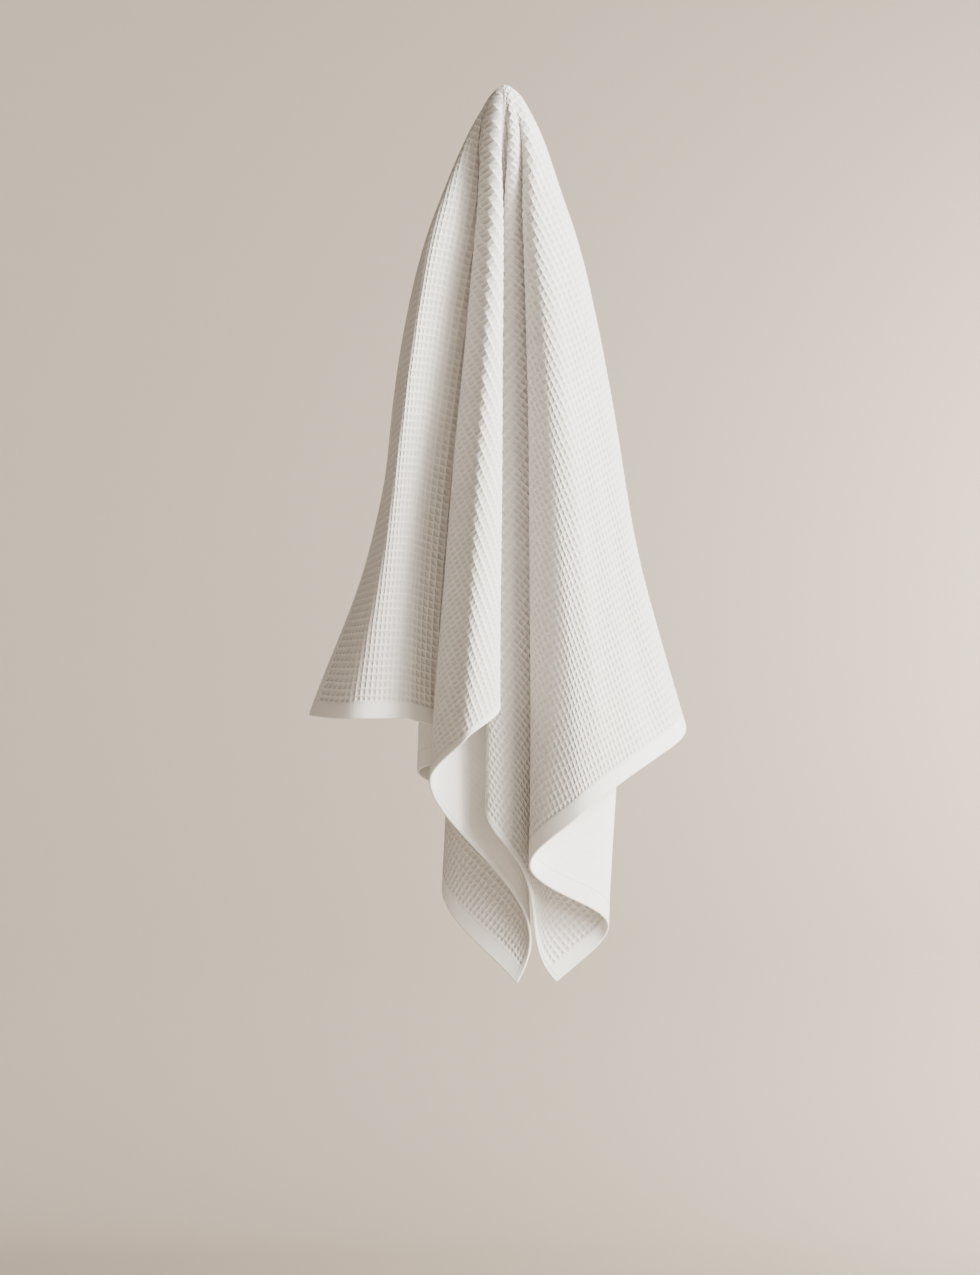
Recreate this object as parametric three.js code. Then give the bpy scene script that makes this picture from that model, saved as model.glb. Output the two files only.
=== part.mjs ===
// A waffle hand towel hung by one point over the end of a plain wall peg.
// Millimetres, +Z up. The wall is the plane y = 0, the towel's front faces -Y and the origin is
// the middle of the rose's wall face.
// The towel is one cone of cloth about the point it hangs from. Each row of FOLDS follows one
// straight line of the flat cloth from that point outwards, and says where the line lies in plan.
import * as THREE from 'three';

// The peg leaves the wall and rises towards its round end.
const PEG_RADIUS = 5;
const PEG_RISE = Math.tan(THREE.MathUtils.degToRad(12));
const PEG_END_Y = -85;
const PEG_SIDES = 32;
const PEG_END_STEPS = 8;
const ROSE_RADIUS = 15;
const ROSE_THICKNESS = 5;
const ROSE_CHAMFER = 1.2;
const SEAT_GAP = 0.3;
const CROWN_GAP = 1;

// The flat towel, measured from the hang point to its four sides.
const TO_LEFT_END = 496;
const TO_RIGHT_END = 505;
const TO_BACK_SIDE = 75;
const TO_FRONT_SIDE = 425;
const BIAS_STRETCH = 0.075;
const CROWN_THICKNESS = 1.0;
const TAIL_THICKNESS = 1.8;
const THIN_UNTIL = 50;
const THICK_FROM = 170;

// The point the towel hangs from, over the highest point of the peg's end.
const AXIS_AT_END = -PEG_RISE * (PEG_END_Y + ROSE_THICKNESS);
const HANG = new THREE.Vector3(
  0,
  PEG_END_Y - PEG_RADIUS * Math.sin(Math.atan(PEG_RISE)),
  AXIS_AT_END + PEG_RADIUS * Math.hypot(1, PEG_RISE) + CROWN_GAP + CROWN_THICKNESS / 2,
);

// Near the hang point the cloth is one dome over the peg, and its thickness points away from its centre.
const CROWN_DEPTH = 14;
const FREE_FROM = 45;

// Distances from the hang point, along the cloth, at which the rows below give places.
const STATIONS = { crown: 25, neck: 110, body: 400, tail: 640 };
const CROWN_SLOPE = 0.99;
const CROWN_WEIGHT = 0.5;
const TURN_ROUNDNESS = 0.6;
const LEAST_FALL = 0.02;
const STRETCH_FROM = 60;

// angle: direction of the line in the flat cloth, 0 to the left end and 90 to the front side.
// turn, reach: its place in plan at the crown, turn 0 to the front and 90 to the right.
// The x and y pairs are its places in plan, from the hang point, at the neck, body and tail.
const FOLDS = [
  // name, angle, turn, reach, neckX, neckY, bodyX, bodyY, tailX, tailY
  ['back', -90, -180, 24.5, 0, 108.2, 0, 392, 0, 630],
  ['back_left_high', -76, -167, 24.4, -14.5, 105.5, -20, 360, -30, 580],
  ['back_left', -62, -155, 22.7, -20, 90, -40, 300, -60, 460],
  ['left_edge_high', -43, -124, 19, -43, 50, -90, 180, -160, 300],
  ['left_ridge_high', -20, -106, 17.5, -53, 4, -120, 62, -240, 110],
  ['left_edge', -9, -94, 17, -50, -8, -109, 6, -220, 20],
  ['left_ridge', -5, -87, 17, -46, -9, -97, -20, -146, -26],
  ['left_panel', 1, -79, 16.5, -36, -4, -66, -6, -66, -14],
  ['turn_behind_front', 9.5, -69, 16, -20, 3.5, -16, 22, 2, 10],
  ['turn_out_left', 17.5, -66, 15.6, -34, 13.5, -62, 42, -70, 47],
  ['turn_back_deep', 26.5, -62, 15.6, -16, 20, 4, 58, 24, 70],
  ['tail_left', 33, -58, 15.7, -26, 14.5, -38, 44, -50, 44],
  ['tail_tip_left', 43, -54, 15.8, -6, 8, 12, 22, 20, 16],
  ['front_fold_left', 57, -46, 16.5, -21, -8, -49, -14, -66, -34],
  ['front_fold_ridge', 62, -27, 17.5, -11, -20, -26, -52, -34, -62],
  ['front_fold_right', 67, -10, 17, -2, -16, -4, -38, -6, -44],
  ['pocket_left', 72, -7.5, 16.2, -8, -8, -28, -15, -30, -20],
  ['pocket_pass', 82, -5.5, 15.7, -1, 4, 20, 11, 18, 20],
  ['pocket_pass_deep', 88, -3.5, 15.6, 6, 13, 38, 33, 38, 38],
  ['pocket_right', 95.5, -1, 15.6, 21, 22, 88, 52, 110, 56],
  ['pocket_pleat_in', 102.5, 1.5, 15.6, 13, 12, 50, 30, 54, 40],
  ['pocket_pleat_out', 109.5, 4, 15.6, 26, 9, 92, 27, 110, 40],
  ['pocket_return', 117, 6.5, 15.8, 12, 3, 31, 7, 26, 18],
  ['middle_left', 127, 10, 17, -1, -6, -12, -12, -14, -20],
  ['middle_strip', 131.5, 16, 17.3, 8, -8, 14, -12, 12, -14],
  ['tail_tip_right', 138.5, 22, 16.4, 20, 2, 56, 2, 28, 28],
  ['tail_right', 143.5, 28, 15.6, 31, 7, 86, 6, 78, 36],
  ['right_fold_left', 152.5, 37, 16.4, 14, -12, 20, -22, 18, -34],
  ['right_fold_ridge', 158.5, 49, 17.8, 22, -21, 46, -46, 62, -56],
  ['right_panel', 164.5, 63, 17.5, 34, -16, 76, -32, 110, -40],
  ['right_side', 171.5, 77, 17.5, 46, -3, 105, -4, 176, 20],
  ['right_turn', 176, 85, 17, 47, 9, 107, 26, 172, 60],
  ['right_behind', 182, 94, 16.5, 41, 22, 86, 64, 100, 74],
  ['right_edge', 204, 108, 17.5, 35, 46, 30, 74, 60, 80],
  ['right_edge_high', 223, 124, 19, 34, 60, 60, 180, 100, 300],
  ['back_right', 242, 155, 22.7, 20, 90, 40, 300, 60, 460],
  ['back_right_high', 256, 167, 24.4, 14.5, 105.5, 20, 360, 30, 580],
  ['back_again', 270, 180, 24.5, 0, 108.2, 0, 392, 0, 630],
].map(([name, angle, turn, reach, neckX, neckY, bodyX, bodyY, tailX, tailY]) => {
  const heading = THREE.MathUtils.degToRad(turn);
  return {
    name,
    angle,
    crown: new THREE.Vector2(reach * Math.sin(heading), -reach * Math.cos(heading)),
    neck: new THREE.Vector2(neckX, neckY),
    body: new THREE.Vector2(bodyX, bodyY),
    tail: new THREE.Vector2(tailX, tailY),
  };
});

// The mesh follows the folds: more columns next to a sharp turn than along a pass.
const SHARP_TURN = 0.55;
const TURN_STEP = 0.13;
const WIDEST_COLUMN = 5;
const LEAST_COLUMN = 0.6;
const ROWS_OUT = 18;
const FALL_STEPS_A_ROW = 14;
const ROW_CROWDING = 0.32;

const LENGTHS = [0, ...Object.values(STATIONS)];

// Value of a curve that has values a and b and slopes da and db at the ends of a span.
function hermite(t, span, a, b, da, db) {
  const wa = (1 + 2 * t) * (1 - t) ** 2;
  const wb = t * t * (3 - 2 * t);
  const wda = t * (1 - t) ** 2 * span;
  const wdb = t * t * (t - 1) * span;
  return new THREE.Vector2(
    wa * a.x + wb * b.x + wda * da.x + wdb * db.x,
    wa * a.y + wb * b.y + wda * da.y + wdb * db.y,
  );
}

function hermiteSlope(t, span, a, b, da, db) {
  const wab = (6 * t * t - 6 * t) / span;
  const wda = 3 * t * t - 4 * t + 1;
  const wdb = 3 * t * t - 2 * t;
  return new THREE.Vector2(
    wab * (a.x - b.x) + wda * da.x + wdb * db.x,
    wab * (a.y - b.y) + wda * da.y + wdb * db.y,
  );
}

// The pass of cloth that starts at fold i. The last fold is the first one again.
const PASSES = FOLDS.length - 1;
const passSpan = (i) => FOLDS[(i % PASSES) + 1].angle - FOLDS[i % PASSES].angle;
const passRun = (station, i) => FOLDS[(i % PASSES) + 1][station].clone().sub(FOLDS[i % PASSES][station]);

// How sharply the section turns at fold i: 0 straight on, 1 straight back.
function sharpness(station, i) {
  const before = passRun(station, i + PASSES - 1).normalize();
  return (1 - before.dot(passRun(station, i).normalize())) / 2;
}

// Slopes of a station's section at each fold. A turn is rounded across its two passes.
function sectionSlopes(station) {
  return FOLDS.map((fold, i) => {
    const spanBefore = passSpan(i + PASSES - 1);
    const spanAfter = passSpan(i);
    const before = passRun(station, i + PASSES - 1).divideScalar(spanBefore);
    const after = passRun(station, i).divideScalar(spanAfter);
    const easy = before.clone().multiplyScalar(spanAfter / (spanBefore + spanAfter));
    easy.addScaledVector(after, spanBefore / (spanBefore + spanAfter));
    const speed = (before.length() + after.length()) / 2;
    const across = before.normalize().add(after.normalize()).normalize();
    return easy.lerp(across.multiplyScalar(TURN_ROUNDNESS * speed), sharpness(station, i));
  });
}

const SLOPES = Object.fromEntries(Object.keys(STATIONS).map((key) => [key, sectionSlopes(key)]));

function sectionPoint(station, angle) {
  const i = Math.min(PASSES - 1, FOLDS.findLastIndex((fold) => fold.angle <= angle));
  const span = passSpan(i);
  const t = (angle - FOLDS[i].angle) / span;
  return hermite(t, span, FOLDS[i][station], FOLDS[i + 1][station], SLOPES[station][i], SLOPES[station][i + 1]);
}

// Distance in the flat cloth from the hang point to the towel's edge.
function reachAt(angle) {
  const c = Math.cos(THREE.MathUtils.degToRad(angle));
  const s = Math.sin(THREE.MathUtils.degToRad(angle));
  const ends = c > 0 ? TO_LEFT_END / c : TO_RIGHT_END / Math.max(-c, Number.EPSILON);
  const sides = s > 0 ? TO_FRONT_SIDE / s : TO_BACK_SIDE / Math.max(-s, Number.EPSILON);
  return Math.min(ends, sides);
}

// One line of the cloth as a plan curve through its stations.
function plumbLine(angle) {
  const places = [new THREE.Vector2(), ...Object.keys(STATIONS).map((key) => sectionPoint(key, angle))];
  const span = (i) => LENGTHS[i + 1] - LENGTHS[i];
  const rise = (i) => places[i + 1].clone().sub(places[i]).divideScalar(span(i));
  const slopes = places.map((place, i) => {
    if (i === 0) return places[1].clone().setLength(CROWN_SLOPE);
    if (i === places.length - 1) return rise(i - 1);
    const weight = i === 1 ? CROWN_WEIGHT : span(i) / (span(i) + span(i - 1));
    return rise(i - 1).lerp(rise(i), 1 - weight);
  });
  const at = (length, shape) => {
    const i = Math.min(LENGTHS.length - 2, LENGTHS.findLastIndex((known) => known <= length));
    const t = (length - LENGTHS[i]) / span(i);
    return shape(t, span(i), places[i], places[i + 1], slopes[i], slopes[i + 1]);
  };
  return { place: (length) => at(length, hermite), slope: (length) => at(length, hermiteSlope) };
}

// Points down one line of the cloth. The fall is what the cloth's own length leaves over.
function linePoints(angle) {
  const line = plumbLine(angle);
  const reach = reachAt(angle);
  const bias = BIAS_STRETCH * Math.abs(Math.sin(THREE.MathUtils.degToRad(2 * angle)));
  const crowding = 1 + ROW_CROWDING * Math.log(reach / TO_BACK_SIDE);
  const points = [];
  let fall = 0;
  let from = 0;
  for (let row = 1; row <= ROWS_OUT; row += 1) {
    const to = reach * (row / ROWS_OUT) ** crowding;
    const step = (to - from) / FALL_STEPS_A_ROW;
    for (let k = 0; k < FALL_STEPS_A_ROW; k += 1) {
      const length = from + (k + 0.5) * step;
      const slope = line.slope(length).length();
      const stretched = 1 + bias * Math.min(1, length / STRETCH_FROM);
      fall += step * Math.sqrt(Math.max(stretched ** 2 - slope ** 2, LEAST_FALL ** 2));
    }
    const place = line.place(to);
    points.push(new THREE.Vector3(HANG.x + place.x, HANG.y + place.y, HANG.z - fall));
    from = to;
  }
  return { points, reach, crowding };
}

// Angles of the mesh columns, with one at each corner of the towel.
function columnAngles() {
  const corner = (across, along) => THREE.MathUtils.radToDeg(Math.atan2(across, along));
  const corners = [
    corner(-TO_BACK_SIDE, TO_LEFT_END),
    corner(TO_FRONT_SIDE, TO_LEFT_END),
    corner(TO_FRONT_SIDE, -TO_RIGHT_END),
    corner(-TO_BACK_SIDE, -TO_RIGHT_END) + 360,
  ];
  const angles = [];
  const isSharp = (i) => sharpness('body', i) > SHARP_TURN;
  for (let i = 0; i < PASSES; i += 1) {
    const span = passSpan(i);
    const count = Math.max(2, Math.ceil(span / WIDEST_COLUMN));
    const steps = Array.from({ length: count }, (unused, k) => k / count);
    if (isSharp(i)) steps.push(TURN_STEP);
    if (isSharp(i + 1)) steps.push(1 - TURN_STEP);
    angles.push(...steps.map((step) => FOLDS[i].angle + step * span));
  }
  for (const angle of corners) {
    const near = angles.findIndex((other) => Math.abs(other - angle) < LEAST_COLUMN);
    if (near < 0) angles.push(angle);
    else angles[near] = angle;
  }
  return angles.sort((a, b) => a - b);
}

// The towel's middle surface as columns of points, then both faces and the rim of the cloth.
function towelGeometry() {
  const columns = columnAngles().map(linePoints);
  const count = columns.length;
  const middle = [HANG.clone()];
  columns.forEach((column) => middle.push(...column.points));
  const index = (column, row) => (row === 0 ? 0 : 1 + (column % count) * ROWS_OUT + row - 1);

  const faces = [];
  for (let column = 0; column < count; column += 1) {
    faces.push([0, index(column, 1), index(column + 1, 1)]);
    for (let row = 1; row < ROWS_OUT; row += 1) {
      const corners = [
        index(column, row),
        index(column, row + 1),
        index(column + 1, row + 1),
        index(column + 1, row),
      ];
      faces.push([corners[0], corners[1], corners[2]], [corners[0], corners[2], corners[3]]);
    }
  }

  const normals = middle.map(() => new THREE.Vector3());
  for (const [a, b, c] of faces) {
    const sideways = middle[b].clone().sub(middle[a]);
    const normal = sideways.cross(middle[c].clone().sub(middle[a])).normalize();
    for (const corner of [a, b, c]) normals[corner].add(normal);
  }
  const lengthAt = (vertex) => {
    if (vertex === 0) return 0;
    const { reach, crowding } = columns[Math.floor((vertex - 1) / ROWS_OUT)];
    return reach * ((((vertex - 1) % ROWS_OUT) + 1) / ROWS_OUT) ** crowding;
  };
  const crownCentre = new THREE.Vector3(HANG.x, HANG.y, HANG.z - CROWN_DEPTH);
  normals.forEach((normal, vertex) => {
    const outwards = middle[vertex].clone().sub(crownCentre).normalize();
    const freed = THREE.MathUtils.smoothstep(lengthAt(vertex), STATIONS.crown, FREE_FROM);
    normal.normalize().lerp(outwards, 1 - freed).normalize();
  });

  const positions = [];
  const halfThickness = (vertex) => {
    const thick = THREE.MathUtils.smoothstep(lengthAt(vertex), THIN_UNTIL, THICK_FROM);
    return THREE.MathUtils.lerp(CROWN_THICKNESS, TAIL_THICKNESS, thick) / 2;
  };
  for (const side of [1, -1]) {
    middle.forEach((point, vertex) => {
      const shifted = point.clone().addScaledVector(normals[vertex], side * halfThickness(vertex));
      positions.push(shifted.x, shifted.y, shifted.z);
    });
  }

  const under = middle.length;
  const triangles = [];
  for (const [a, b, c] of faces) {
    triangles.push(a, b, c);
    triangles.push(under + a, under + c, under + b);
  }
  for (let column = 0; column < count; column += 1) {
    const near = index(column, ROWS_OUT);
    const next = index(column + 1, ROWS_OUT);
    triangles.push(near, under + near, under + next);
    triangles.push(near, under + next, next);
  }
  const geometry = new THREE.BufferGeometry();
  geometry.setAttribute('position', new THREE.Float32BufferAttribute(positions, 3));
  geometry.setIndex(triangles);
  geometry.computeVertexNormals();
  return geometry;
}

function pegGeometry() {
  const base = -(ROSE_THICKNESS + SEAT_GAP);
  const profile = [new THREE.Vector2(0, PEG_END_Y - PEG_RADIUS)];
  for (let step = 1; step <= PEG_END_STEPS; step += 1) {
    const turn = (step / PEG_END_STEPS) * (Math.PI / 2);
    profile.push(new THREE.Vector2(PEG_RADIUS * Math.sin(turn), PEG_END_Y - PEG_RADIUS * Math.cos(turn)));
  }
  profile.push(new THREE.Vector2(PEG_RADIUS, base));
  profile.push(new THREE.Vector2(0, base));
  const geometry = new THREE.LatheGeometry(profile, PEG_SIDES);
  const rising = new THREE.Matrix4().set(
    1, 0, 0, 0,
    0, 1, 0, 0,
    0, -PEG_RISE, 1, -PEG_RISE * ROSE_THICKNESS,
    0, 0, 0, 1,
  );
  return geometry.applyMatrix4(rising);
}

function roseGeometry() {
  const front = -ROSE_THICKNESS;
  const profile = [
    new THREE.Vector2(0, front),
    new THREE.Vector2(ROSE_RADIUS - ROSE_CHAMFER, front),
    new THREE.Vector2(ROSE_RADIUS, front + ROSE_CHAMFER),
    new THREE.Vector2(ROSE_RADIUS, 0),
    new THREE.Vector2(0, 0),
  ];
  return new THREE.LatheGeometry(profile, PEG_SIDES);
}

function piece(name, geometry, material) {
  const mesh = new THREE.Mesh(geometry, material);
  mesh.name = name;
  return mesh;
}

const steel = new THREE.MeshStandardMaterial({ color: 0xb9b7b2, roughness: 0.35, metalness: 1 });
const cotton = new THREE.MeshStandardMaterial({
  color: 0xf1eee8,
  roughness: 0.95,
  metalness: 0,
  side: THREE.DoubleSide,
});

const object = new THREE.Group();
object.name = 'waffle_towel_and_wall_hook';
object.add(piece('towel', towelGeometry(), cotton));
object.add(piece('peg', pegGeometry(), steel));
object.add(piece('rose', roseGeometry(), steel));

export default object;
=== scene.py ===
"""A waffle towel hung by one point over a plain wall peg, dressed on its CAD solids."""
import math

import bpy
import numpy as np
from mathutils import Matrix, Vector


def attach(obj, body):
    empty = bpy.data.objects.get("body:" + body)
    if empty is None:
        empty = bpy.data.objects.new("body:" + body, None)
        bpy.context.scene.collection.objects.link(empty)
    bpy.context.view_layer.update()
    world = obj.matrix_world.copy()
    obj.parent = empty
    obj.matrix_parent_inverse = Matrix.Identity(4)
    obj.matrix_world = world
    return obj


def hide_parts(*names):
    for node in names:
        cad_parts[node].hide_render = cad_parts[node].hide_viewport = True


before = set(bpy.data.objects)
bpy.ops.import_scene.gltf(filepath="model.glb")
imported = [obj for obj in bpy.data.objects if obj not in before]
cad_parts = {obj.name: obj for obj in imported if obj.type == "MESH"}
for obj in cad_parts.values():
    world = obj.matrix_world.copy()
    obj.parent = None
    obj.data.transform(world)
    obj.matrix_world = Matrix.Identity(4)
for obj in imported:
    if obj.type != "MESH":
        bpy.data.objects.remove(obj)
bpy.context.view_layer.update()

MM = 0.001

# The flat towel in millimetres, from the point it hangs from to its four sides.
TO_LEFT_END, TO_RIGHT_END = 496.0, 505.0
TO_BACK_SIDE, TO_FRONT_SIDE = 75.0, 425.0
BIAS_STRETCH, STRETCH_FROM = 0.075, 60.0
HANG = np.array([0.0, -86.0396, 23.6163])

# Distances from that point, along the cloth, at which the rows of FOLDS give places.
STATIONS = np.array([0.0, 25.0, 110.0, 400.0, 640.0])
CROWN_SLOPE, CROWN_WEIGHT, TURN_ROUNDNESS, LEAST_FALL = 0.99, 0.5, 0.6, 0.02
FALL_STEPS = 120

# Each row is one straight line of the flat cloth from the hang point outwards.
FOLDS = [
    # name, angle, turn, out, neck x, y, body x, y, tail x, y
    ("back", -90, -180, 24.5, 0, 108.2, 0, 392, 0, 630),
    ("back_left_high", -76, -167, 24.4, -14.5, 105.5, -20, 360, -30, 580),
    ("back_left", -62, -155, 22.7, -20, 90, -40, 300, -60, 460),
    ("left_edge_high", -43, -124, 19, -43, 50, -90, 180, -160, 300),
    ("left_ridge_high", -20, -106, 17.5, -53, 4, -120, 62, -240, 110),
    ("left_edge", -9, -94, 17, -50, -8, -109, 6, -220, 20),
    ("left_ridge", -5, -87, 17, -46, -9, -97, -20, -146, -26),
    ("left_panel", 1, -79, 16.5, -36, -4, -66, -6, -66, -14),
    ("turn_behind_front", 9.5, -69, 16, -20, 3.5, -16, 22, 2, 10),
    ("turn_out_left", 17.5, -66, 15.6, -34, 13.5, -62, 42, -70, 47),
    ("turn_back_deep", 26.5, -62, 15.6, -16, 20, 4, 58, 24, 70),
    ("tail_left", 33, -58, 15.7, -26, 14.5, -38, 44, -50, 44),
    ("tail_tip_left", 43, -54, 15.8, -6, 8, 12, 22, 20, 16),
    ("front_fold_left", 57, -46, 16.5, -21, -8, -49, -14, -66, -34),
    ("front_fold_ridge", 62, -27, 17.5, -11, -20, -26, -52, -34, -62),
    ("front_fold_right", 67, -10, 17, -2, -16, -4, -38, -6, -44),
    ("pocket_left", 72, -7.5, 16.2, -8, -8, -28, -15, -30, -20),
    ("pocket_pass", 82, -5.5, 15.7, -1, 4, 20, 11, 18, 20),
    ("pocket_pass_deep", 88, -3.5, 15.6, 6, 13, 38, 33, 38, 38),
    ("pocket_right", 95.5, -1, 15.6, 21, 22, 88, 52, 110, 56),
    ("pocket_pleat_in", 102.5, 1.5, 15.6, 13, 12, 50, 30, 54, 40),
    ("pocket_pleat_out", 109.5, 4, 15.6, 26, 9, 92, 27, 110, 40),
    ("pocket_return", 117, 6.5, 15.8, 12, 3, 31, 7, 26, 18),
    ("middle_left", 127, 10, 17, -1, -6, -12, -12, -14, -20),
    ("middle_strip", 131.5, 16, 17.3, 8, -8, 14, -12, 12, -14),
    ("tail_tip_right", 138.5, 22, 16.4, 20, 2, 56, 2, 28, 28),
    ("tail_right", 143.5, 28, 15.6, 31, 7, 86, 6, 78, 36),
    ("right_fold_left", 152.5, 37, 16.4, 14, -12, 20, -22, 18, -34),
    ("right_fold_ridge", 158.5, 49, 17.8, 22, -21, 46, -46, 62, -56),
    ("right_panel", 164.5, 63, 17.5, 34, -16, 76, -32, 110, -40),
    ("right_side", 171.5, 77, 17.5, 46, -3, 105, -4, 176, 20),
    ("right_turn", 176, 85, 17, 47, 9, 107, 26, 172, 60),
    ("right_behind", 182, 94, 16.5, 41, 22, 86, 64, 100, 74),
    ("right_edge", 204, 108, 17.5, 35, 46, 30, 74, 60, 80),
    ("right_edge_high", 223, 124, 19, 34, 60, 60, 180, 100, 300),
    ("back_right", 242, 155, 22.7, 20, 90, 40, 300, 60, 460),
    ("back_right_high", 256, 167, 24.4, 14.5, 105.5, 20, 360, 30, 580),
    ("back_again", 270, 180, 24.5, 0, 108.2, 0, 392, 0, 630),
]

# Waffle cells and hems, in millimetres of flat cloth.
CELLS_LONG, CELLS_WIDE = 182, 122
END_HEM, SIDE_HEM = 13.0, 4.3
WAFFLE_DEPTH, REVERSE_DEPTH = 0.75, 0.15
CROWN_THICKNESS, CLOTH_THICKNESS, HEM_THICKNESS = 0.7, 1.1, 1.9
HEM_BLEND = 1.0
CROWN_DEPTH, FREE_FROM = 14.0, 45.0

# The cloth has its full thickness and its full relief from BODY_FULL outwards.
BODY_FROM, BODY_FULL, CROWN_RELIEF = 50.0, 170.0, 0.45

# Soft creases and dents along lines of the cloth from the hang point. Height is out of the face.
CREASES = [
    # name, angle, from, to, half width, height
    ("right_crease", 161.5, 110, 540, 8, 1.5),
    ("right_dent", 168.0, 180, 600, 12, -2.0),
    ("right_shoulder", 174.5, 70, 380, 8, 1.3),
    ("front_right_dent", 155.5, 140, 430, 5, -0.9),
    ("middle_crease", 129.5, 110, 520, 6, 0.8),
    ("front_left_dent", 59.5, 150, 440, 7, -1.0),
    ("left_crease", 3.5, 170, 500, 8, 1.1),
    ("left_strip_dent", -14.0, 150, 500, 9, -1.5),
    ("back_dent", -48.0, 60, 140, 14, -2.0),
    ("back_crease", 214.0, 60, 150, 12, 1.6),
]
CREASE_FADE_IN, CREASE_FADE_OUT, CREASED_FROM = 80.0, 120.0, 110.0
RIPPLE, RIPPLE_ALONG, RIPPLE_ACROSS, RIPPLE_SKEW = 0.5, 41.0, 57.0, 90.0


def section_slopes(angles, places):
    """Slopes of one station's section at each fold, rounded where the cloth turns back."""
    passes = len(angles) - 1
    spans = np.diff(angles)
    runs = np.diff(places, axis=0) / spans[:, None]
    slopes = np.zeros_like(places)
    for i in range(len(angles)):
        before, after = (i - 1) % passes, i % passes
        total = spans[before] + spans[after]
        easy = (spans[after] * runs[before] + spans[before] * runs[after]) / total
        speed = [np.linalg.norm(runs[before]), np.linalg.norm(runs[after])]
        heading = [runs[before] / speed[0], runs[after] / speed[1]]
        sharpness = (1 - heading[0] @ heading[1]) / 2
        across = heading[0] + heading[1]
        across /= np.linalg.norm(across)
        slopes[i] = (1 - sharpness) * easy + sharpness * across * TURN_ROUNDNESS * sum(speed) / 2
    return slopes


def hermite(t, span, a, b, da, db):
    """A cubic from a to b over the span, with the slopes da and db at its ends."""
    return (
        (1 + 2 * t) * (1 - t) ** 2 * a
        + t * t * (3 - 2 * t) * b
        + t * (1 - t) ** 2 * span * da
        + t * t * (t - 1) * span * db
    )


def hermite_slope(t, span, a, b, da, db):
    """The slope of that cubic."""
    return (
        (6 * t * t - 6 * t) / span * (a - b)
        + (3 * t * t - 4 * t + 1) * da
        + (3 * t * t - 2 * t) * db
    )


def line_stations(angles):
    """Plan places at the stations of the cloth lines at these angles."""
    table = np.array([row[1:] for row in FOLDS], float)
    known, turns, out = table[:, 0], np.radians(table[:, 1]), table[:, 2]
    crown = np.stack([out * np.sin(turns), -out * np.cos(turns)], 1)
    i = np.clip(np.searchsorted(known, angles, side="right") - 1, 0, len(known) - 2)
    span = np.diff(known)[i][:, None]
    t = (angles - known[i])[:, None] / span
    places = [np.zeros((len(angles), 2))]
    for section in (crown, table[:, 3:5], table[:, 5:7], table[:, 7:9]):
        slopes = section_slopes(known, section)
        places.append(hermite(t, span, section[i], section[i + 1], slopes[i], slopes[i + 1]))
    return np.stack(places, 1)


def hang(along, across):
    """Places in the hung towel, in millimetres, of points of the flat cloth.

    along runs from the hang point to the left end and across to the front side.
    """
    lengths = np.hypot(along, across)
    angles = np.degrees(np.arctan2(across, along))
    angles = np.where(angles < -90, angles + 360, angles)
    places = line_stations(angles)
    spans = np.diff(STATIONS)
    rises = np.diff(places, axis=1) / spans[None, :, None]
    slopes = np.zeros_like(places)
    outwards = places[:, 1] / np.linalg.norm(places[:, 1], axis=1, keepdims=True)
    slopes[:, 0] = outwards * CROWN_SLOPE
    for i in range(1, len(STATIONS) - 1):
        weight = CROWN_WEIGHT if i == 1 else spans[i] / (spans[i] + spans[i - 1])
        slopes[:, i] = weight * rises[:, i - 1] + (1 - weight) * rises[:, i]
    slopes[:, -1] = rises[:, -1]
    rows = np.arange(len(lengths))

    def plan(shape, reach):
        i = np.clip(np.searchsorted(STATIONS, reach, side="right") - 1, 0, len(spans) - 1)
        span = spans[i][:, None]
        t = (reach - STATIONS[i])[:, None] / span
        start, end = places[rows, i], places[rows, i + 1]
        return shape(t, span, start, end, slopes[rows, i], slopes[rows, i + 1])

    bias = BIAS_STRETCH * np.abs(np.sin(2 * np.radians(angles)))
    fall = np.zeros_like(lengths)
    for step in range(FALL_STEPS):
        reach = lengths * (step + 0.5) / FALL_STEPS
        slope = plan(hermite_slope, reach)
        stretched = 1 + bias * np.clip(reach / STRETCH_FROM, 0, 1)
        left = np.maximum(stretched**2 - (slope**2).sum(1), LEAST_FALL**2)
        fall += np.sqrt(left) * lengths / FALL_STEPS
    return np.column_stack([plan(hermite, lengths), -fall]) + HANG


def smooth(value, low, high):
    """From 0 at low to 1 at high, level at both."""
    t = np.clip((value - low) / (high - low), 0, 1)
    return t * t * (3 - 2 * t)


def new_mesh(name, vertices, quads, uvs=None):
    """A smooth-shaded mesh object, with a UV map "flat" where uvs are given."""
    mesh = bpy.data.meshes.new(name)
    mesh.from_pydata(vertices.tolist(), [], quads.tolist())
    if uvs is not None:
        layer = mesh.uv_layers.new(name="flat")
        corners = np.empty(len(mesh.loops), dtype=np.int32)
        mesh.loops.foreach_get("vertex_index", corners)
        layer.data.foreach_set("uv", uvs[corners].astype(np.float32).ravel())
    mesh.polygons.foreach_set("use_smooth", [True] * len(mesh.polygons))
    mesh.update()
    obj = bpy.data.objects.new(name, mesh)
    bpy.context.scene.collection.objects.link(obj)
    return obj


def grid_quads(columns, rows):
    index = np.arange(columns * rows).reshape(columns, rows)
    corners = [index[:-1, :-1], index[1:, :-1], index[1:, 1:], index[:-1, 1:]]
    return np.stack(corners, -1).reshape(-1, 4)


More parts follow.
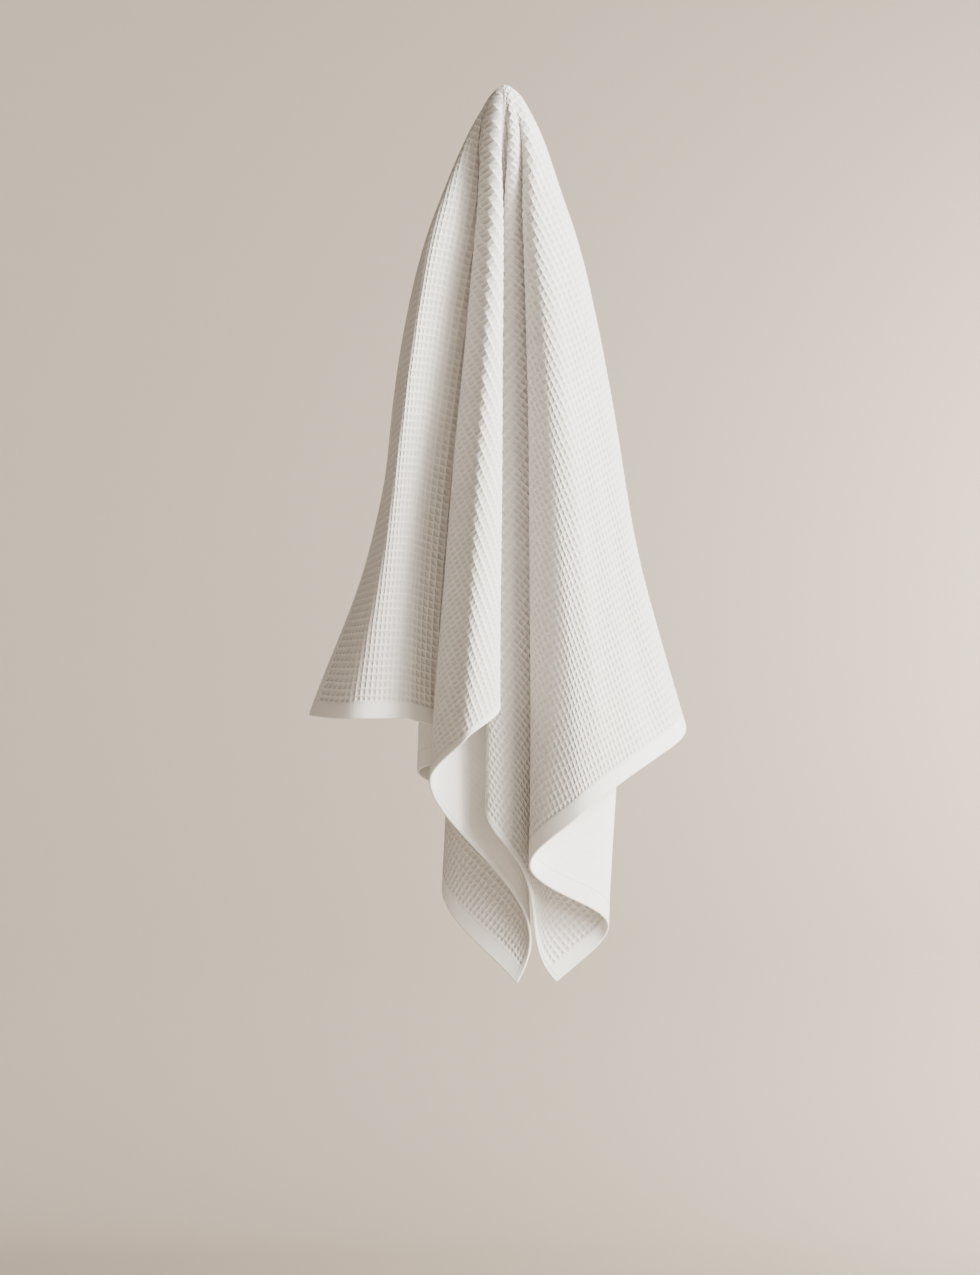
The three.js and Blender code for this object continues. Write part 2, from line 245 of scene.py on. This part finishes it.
# The towel's mesh has two steps a waffle cell, so that its lines fall on the cells' walls.
COLUMNS, ROWS = 2 * CELLS_LONG + 1, 2 * CELLS_WIDE + 1
along_line = np.linspace(-TO_RIGHT_END, TO_LEFT_END, COLUMNS)
across_line = np.linspace(-TO_BACK_SIDE, TO_FRONT_SIDE, ROWS)
along, across = np.meshgrid(along_line, across_line, indexing="ij")
middle = hang(along.ravel(), across.ravel()).reshape(COLUMNS, ROWS, 3)
reach = np.hypot(along, across)


def unit(vectors):
    return vectors / np.linalg.norm(vectors, axis=2, keepdims=True)


def face_normals(places):
    """Which way the cloth's face points: out of its fold, and away from the peg at the crown."""
    normals = unit(np.cross(np.gradient(places, axis=0), np.gradient(places, axis=1)))
    from_crown = unit(places - (HANG - [0, 0, CROWN_DEPTH]))
    freed = smooth(reach, STATIONS[1], FREE_FROM)[..., None]
    return unit(normals * freed + from_crown * (1 - freed))


def crease_heights():
    """How far the creases, the dents and a faint ripple lift the cloth out of its folds."""
    angle = np.degrees(np.arctan2(across, along))
    angle = np.where(angle < -90, angle + 360, angle)
    heights = np.sin(across / RIPPLE_ACROSS + along / RIPPLE_SKEW)
    heights = RIPPLE * np.sin(along / RIPPLE_ALONG) * heights
    for name, line, start, end, half_width, height in CREASES:
        aside = reach * np.sin(np.radians(np.clip(angle - line, -90, 90)))
        length = smooth(reach, start, start + CREASE_FADE_IN)
        length *= 1 - smooth(reach, end - CREASE_FADE_OUT, end)
        heights += height * length * np.exp(-((aside / half_width) ** 2))
    return heights * smooth(reach, FREE_FROM, CREASED_FROM)


middle = middle + face_normals(middle) * crease_heights()[..., None]
normals = face_normals(middle)

# Plain hems of doubled cloth round the waffle, and the waffle's walls and pits.
from_end = np.minimum(along + TO_RIGHT_END, TO_LEFT_END - along)
from_side = np.minimum(across + TO_BACK_SIDE, TO_FRONT_SIDE - across)
waffled = smooth(from_end, END_HEM - HEM_BLEND, END_HEM + HEM_BLEND)
waffled = waffled * smooth(from_side, SIDE_HEM - HEM_BLEND, SIDE_HEM + HEM_BLEND)
on_wall_long = (np.arange(COLUMNS) % 2 == 0)[:, None]
on_wall_wide = (np.arange(ROWS) % 2 == 0)[None, :]
WALL_CROSSING, WALL_MIDDLE = 1.0, 0.8
relief = np.where(on_wall_long | on_wall_wide, WALL_MIDDLE, 0.0)
relief = np.where(on_wall_long & on_wall_wide, WALL_CROSSING, relief)
body = smooth(reach, BODY_FROM, BODY_FULL)
thickness = CROWN_THICKNESS + (CLOTH_THICKNESS - CROWN_THICKNESS) * body
thickness = thickness + (HEM_THICKNESS - CLOTH_THICKNESS) * (1 - waffled) * body
strength = CROWN_RELIEF + (1 - CROWN_RELIEF) * body
face_height = thickness / 2 + (relief - 0.5) * WAFFLE_DEPTH * waffled * strength
back_height = thickness / 2 + (relief - 0.5) * REVERSE_DEPTH * waffled
face = middle + normals * face_height[..., None]
back = middle - normals * back_height[..., None]
flat = np.stack([along, across], -1) * MM

towel_face = new_mesh(
    "towel_face", face.reshape(-1, 3) * MM, grid_quads(COLUMNS, ROWS), flat.reshape(-1, 2)
)
towel_reverse = new_mesh(
    "towel_reverse",
    back[::2, ::2].reshape(-1, 3) * MM,
    grid_quads(CELLS_LONG + 1, CELLS_WIDE + 1)[:, ::-1],
    flat[::2, ::2].reshape(-1, 2),
)


# The towel's edge is the fold of its hem: a rounded strip between the two sides.
def border(array):
    return np.concatenate([array[:-1, 0], array[-1, :-1], array[:0:-1, -1], array[0, :0:-1]])


EDGE_STEPS = 5
centre = (border(face) + border(back)) / 2
half = (border(face) - border(back)) / 2
step_in = np.concatenate([middle[:-1, 1], middle[-2, :-1], middle[:0:-1, -2], middle[1, :0:-1]])
outwards = centre - step_in
outwards -= half * ((outwards * half).sum(1) / (half * half).sum(1))[:, None]
outwards *= (np.linalg.norm(half, axis=1) / np.linalg.norm(outwards, axis=1))[:, None]
turns = np.linspace(0, math.pi, EDGE_STEPS + 1)
strip = np.stack([centre + math.cos(t) * half + math.sin(t) * outwards for t in turns], 1)
strip = np.concatenate([strip, strip[:1]])
border_flat = border(flat)
strip_flat = np.repeat(np.concatenate([border_flat, border_flat[:1]])[:, None], EDGE_STEPS + 1, 1)
towel_edge = new_mesh(
    "towel_edge",
    strip.reshape(-1, 3) * MM,
    grid_quads(len(strip), EDGE_STEPS + 1),
    strip_flat.reshape(-1, 2),
)


class Shader:
    """A material's node tree, built up from small sums."""

    def __init__(self, name):
        self.material = bpy.data.materials.new(name)
        self.material.use_nodes = True
        self.nodes = self.material.node_tree.nodes
        self.links = self.material.node_tree.links
        self.surface = self.nodes["Principled BSDF"]

    def feed(self, socket, value):
        if isinstance(value, bpy.types.NodeSocket):
            self.links.new(value, socket)
        else:
            socket.default_value = value

    def node(self, kind, output=0, settings=None, **inputs):
        node = self.nodes.new(kind)
        for key, value in (settings or {}).items():
            setattr(node, key, value)
        for key, value in inputs.items():
            self.feed(node.inputs[key.replace("_", " ")], value)
        return node.outputs[output]

    def math(self, operation, *values):
        node = self.nodes.new("ShaderNodeMath")
        node.operation = operation
        for socket, value in zip(node.inputs, values):
            self.feed(socket, value)
        return node.outputs[0]

    def ramp(self, value, low, high, to_low=0.0, to_high=1.0):
        node = self.nodes.new("ShaderNodeMapRange")
        node.interpolation_type = "SMOOTHSTEP"
        for socket, number in zip(node.inputs, (value, low, high, to_low, to_high)):
            self.feed(socket, number)
        return node.outputs[0]

    def noise(self, vector, scale, detail=2.0):
        return self.node("ShaderNodeTexNoise", Vector=vector, Scale=scale, Detail=detail)

    def mix(self, amount, a, b):
        node = self.nodes.new("ShaderNodeMix")
        node.data_type = "RGBA"
        for name, value in (("Factor_Float", amount), ("A_Color", a), ("B_Color", b)):
            socket = next(x for x in node.inputs if x.identifier == name)
            self.feed(socket, value)
        return next(x for x in node.outputs if x.identifier == "Result_Color")

    def bump(self, height, depth, normal=None, strength=1.0):
        node = self.nodes.new("ShaderNodeBump")
        node.inputs["Distance"].default_value = depth
        node.inputs["Strength"].default_value = strength
        self.feed(node.inputs["Height"], height)
        if normal is not None:
            self.feed(node.inputs["Normal"], normal)
        return node.outputs[0]


LENGTH = (TO_LEFT_END + TO_RIGHT_END) * MM
WIDTH = (TO_BACK_SIDE + TO_FRONT_SIDE) * MM
CELL_LONG = LENGTH / CELLS_LONG
CELL_WIDE = WIDTH / CELLS_WIDE

# How round the pits between the walls are, the yarn's pitch, and the hems' stitches, in metres.
PIT_POWER, WOBBLE = 0.8, 0.0011
THREAD, THREAD_DEPTH = 0.00062, 0.00006
STITCH, STITCH_DEPTH, STITCH_FROM_EDGE = 0.0028, 0.0003, 1.4

COTTON_DULL, COTTON_CLEAN = (0.800, 0.780, 0.745, 1), (0.835, 0.815, 0.785, 1)
# The darker pit colour is painted shade for the waffle's pits. The fibre colour is the cotton's
# own.
PAINTED_PIT_SHADE, COTTON_FIBRE = (0.47, 0.44, 0.41, 1), (0.90, 0.89, 0.87, 1)
STEEL_DARK, STEEL_LIGHT = (0.50, 0.485, 0.46, 1), (0.58, 0.565, 0.54, 1)


def cotton_material(name, waffle_depth, pit_shade):
    """Cotton that is waffled inside plain stitched hems, laid out on the flat cloth, with painted
    shade in the waffle's pits.
    """
    shader = Shader(name)
    flat_place = shader.node("ShaderNodeUVMap", settings={"uv_map": "flat"})
    split = shader.nodes.new("ShaderNodeSeparateXYZ")
    shader.feed(split.inputs[0], flat_place)
    uneven = shader.math("SUBTRACT", shader.noise(flat_place, 45.0), 0.5)
    wobble = shader.math("MULTIPLY", uneven, WOBBLE)
    lengthways = shader.math("ADD", split.outputs[0], TO_RIGHT_END * MM)
    widthways = shader.math("ADD", split.outputs[1], TO_BACK_SIDE * MM)
    to_end = shader.math("MINIMUM", lengthways, shader.math("SUBTRACT", LENGTH, lengthways))
    to_side = shader.math("MINIMUM", widthways, shader.math("SUBTRACT", WIDTH, widthways))
    waffled = shader.math(
        "MULTIPLY",
        shader.ramp(to_end, (END_HEM - HEM_BLEND) * MM, (END_HEM + HEM_BLEND) * MM),
        shader.ramp(to_side, (SIDE_HEM - HEM_BLEND) * MM, (SIDE_HEM + HEM_BLEND) * MM),
    )

    def wave(place, pitch, power):
        turn = shader.math("MULTIPLY", place, math.pi / pitch)
        return shader.math("POWER", shader.math("ABSOLUTE", shader.math("SINE", turn)), power)

    across_cell = wave(shader.math("ADD", lengthways, wobble), CELL_LONG, PIT_POWER)
    along_cell = wave(shader.math("ADD", widthways, wobble), CELL_WIDE, PIT_POWER)
    pit = shader.math("MULTIPLY", shader.math("MULTIPLY", across_cell, along_cell), waffled)

    # Threads run both ways, and the hems are sewn down with one row of stitches.
    fibres = shader.noise(flat_place, 900.0, 3.0)
    threads = shader.math(
        "ADD",
        shader.math("MULTIPLY", wave(lengthways, THREAD, 1.0), wave(widthways, THREAD, 1.0)),
        shader.math("MULTIPLY", fibres, 0.8),
    )

    def seam(distance, hem, run):
        place = (hem - STITCH_FROM_EDGE) * MM
        near = shader.math("ABSOLUTE", shader.math("SUBTRACT", distance, place))
        line = shader.ramp(near, 0.0002, 0.0006, 1.0, 0.0)
        return shader.math("MULTIPLY", line, shader.ramp(wave(run, STITCH, 1.0), 0.25, 0.6))

    end_seam, side_seam = seam(to_end, END_HEM, widthways), seam(to_side, SIDE_HEM, lengthways)
    stitches = shader.math("MAXIMUM", end_seam, side_seam)
    normal = shader.bump(pit, waffle_depth * MM * -1.0)
    normal = shader.bump(stitches, STITCH_DEPTH, normal)
    normal = shader.bump(threads, THREAD_DEPTH, normal, 0.6)
    shader.feed(shader.surface.inputs["Normal"], normal)

    blotches = shader.noise(flat_place, 14.0, 4.0)
    cloth = shader.mix(shader.ramp(blotches, 0.3, 0.7), COTTON_DULL, COTTON_CLEAN)
    # The pits are darkened towards the pit colour by pit_shade. This is painted shade in the
    # waffle's hollows, strong on the face and faint on the reverse.
    cloth = shader.mix(shader.math("MULTIPLY", pit, pit_shade), cloth, PAINTED_PIT_SHADE)
    cloth = shader.mix(shader.math("MULTIPLY", fibres, 0.10), cloth, COTTON_FIBRE)
    shader.feed(shader.surface.inputs["Base Color"], cloth)
    shader.surface.inputs["Roughness"].default_value = 0.92
    shader.surface.inputs["Specular IOR Level"].default_value = 0.25
    shader.surface.inputs["Sheen Weight"].default_value = 0.25
    shader.surface.inputs["Sheen Roughness"].default_value = 0.5
    return shader.material


def steel_material():
    """Brushed steel, with fine turned lines and worn patches."""
    shader = Shader("brushed_steel")
    place = shader.node("ShaderNodeTexCoord", output=3)
    stretched = shader.node("ShaderNodeMapping", Vector=place, Scale=(30.0, 900.0, 30.0))
    brushed = shader.noise(stretched, 6.0, 3.0)
    worn = shader.noise(place, 90.0, 3.0)
    colour = shader.mix(shader.ramp(worn, 0.35, 0.7), STEEL_DARK, STEEL_LIGHT)
    shader.feed(shader.surface.inputs["Base Color"], colour)
    shader.surface.inputs["Metallic"].default_value = 1.0
    dulled = shader.math("ADD", brushed, shader.math("MULTIPLY", worn, 0.5))
    roughness = shader.ramp(dulled, 0.4, 1.1, 0.26, 0.46)
    shader.feed(shader.surface.inputs["Roughness"], roughness)
    shader.feed(shader.surface.inputs["Normal"], shader.bump(brushed, 0.00004, strength=0.5))
    return shader.material


def plain_material(name, colour, roughness):
    """A matt paint with a faint change of tone."""
    shader = Shader(name)
    place = shader.node("ShaderNodeTexCoord", output=3)
    tone = shader.mix(shader.noise(place, 2.0), colour, tuple(0.97 * c for c in colour[:3]) + (1,))
    shader.feed(shader.surface.inputs["Base Color"], tone)
    shader.surface.inputs["Roughness"].default_value = roughness
    return shader.material


waffle_cotton = cotton_material("waffle_cotton", 1.0, 0.42)
plain_cotton = cotton_material("cotton_reverse", 0.14, 0.03)
steel = steel_material()
cotton_pieces = (
    (towel_face, waffle_cotton),
    (towel_reverse, plain_cotton),
    (towel_edge, plain_cotton),
)
for piece, material in cotton_pieces:
    piece.data.materials.append(material)
    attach(piece, "root")
    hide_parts("towel")
for name in ("peg", "rose"):
    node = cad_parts[name]
    node.data.materials.clear()
    node.data.materials.append(steel)

# The camera looks level at the wall, as in the photograph.
CAMERA_DISTANCE = 4.0
PIXEL = 0.765 * MM
FRAME_WIDTH, FRAME_HEIGHT = 980, 1275
HANG_PIXEL = (505, 85)
SENSOR = 36.0
camera_data = bpy.data.cameras.new("camera")
camera_data.sensor_width = SENSOR
camera_data.lens = SENSOR * CAMERA_DISTANCE / (FRAME_HEIGHT * PIXEL)
camera = bpy.data.objects.new("camera", camera_data)
camera.location = (
    HANG[0] * MM - (HANG_PIXEL[0] - FRAME_WIDTH / 2) * PIXEL,
    HANG[1] * MM - CAMERA_DISTANCE,
    HANG[2] * MM + (HANG_PIXEL[1] - FRAME_HEIGHT / 2) * PIXEL,
)
camera.rotation_euler = (math.pi / 2, 0, 0)
bpy.context.scene.collection.objects.link(camera)
bpy.context.scene.camera = camera

# A plain pale floor that sweeps up all round, far enough out to walk round the towel.
FLOOR_Z, ROOM_RADIUS, SWEEP_RADIUS, ROOM_TOP, ROOM_SIDES = -1.457, 5.4, 0.5, 2.6, 96
profile = [(0.0, FLOOR_Z), (1.0, FLOOR_Z), (3.0, FLOOR_Z)]
for turn in np.linspace(0, math.pi / 2, 13):
    out = ROOM_RADIUS - SWEEP_RADIUS * (1 - math.sin(turn))
    profile.append((out, FLOOR_Z + SWEEP_RADIUS * (1 - math.cos(turn))))
profile.append((ROOM_RADIUS, ROOM_TOP))
around = np.linspace(0, 2 * math.pi, ROOM_SIDES + 1)
room = np.array([[(r * math.cos(t), r * math.sin(t), z) for r, z in profile] for t in around])
sweep = new_mesh("sweep", room.reshape(-1, 3), grid_quads(ROOM_SIDES + 1, len(profile)))
sweep.data.materials.append(plain_material("pale_paint", (0.46, 0.407, 0.35, 1), 0.9))

world = bpy.data.worlds.new("world")
bpy.context.scene.world = world
world.use_nodes = True
background = world.node_tree.nodes["Background"]
background.inputs["Color"].default_value = (1.0, 0.94, 0.87, 1)
background.inputs["Strength"].default_value = 0.2


def area_light(name, place, target, size, power, color):
    """A square light of this size in metres and power in watts, aimed at the target."""
    data = bpy.data.lights.new(name, "AREA")
    data.shape = "SQUARE"
    data.size = size
    data.energy = power
    data.color = color
    light = bpy.data.objects.new(name, data)
    light.location = place
    light.rotation_euler = (Vector(target) - Vector(place)).to_track_quat("-Z", "Y").to_euler()
    bpy.context.scene.collection.objects.link(light)


# The key and fill come from the right, as in the photograph. The others light the room's walls.
area_light("key", (3.1, -1.5, 1.4), (0, -0.1, -0.3), 1.6, 660, (1.0, 0.965, 0.91))
area_light("fill", (2.6, -2.2, 0.1), (0, -0.1, -0.4), 1.4, 130, (1.0, 0.97, 0.93))
area_light("backdrop", (1.75, 4.5, -0.3), (1.15, 5.4, -0.35), 1.2, 105, (1.0, 0.92, 0.82))
area_light("side_wall", (3.0, -0.5, 2.2), (5.4, -1.0, -0.2), 1.5, 260, (1.0, 0.95, 0.88))
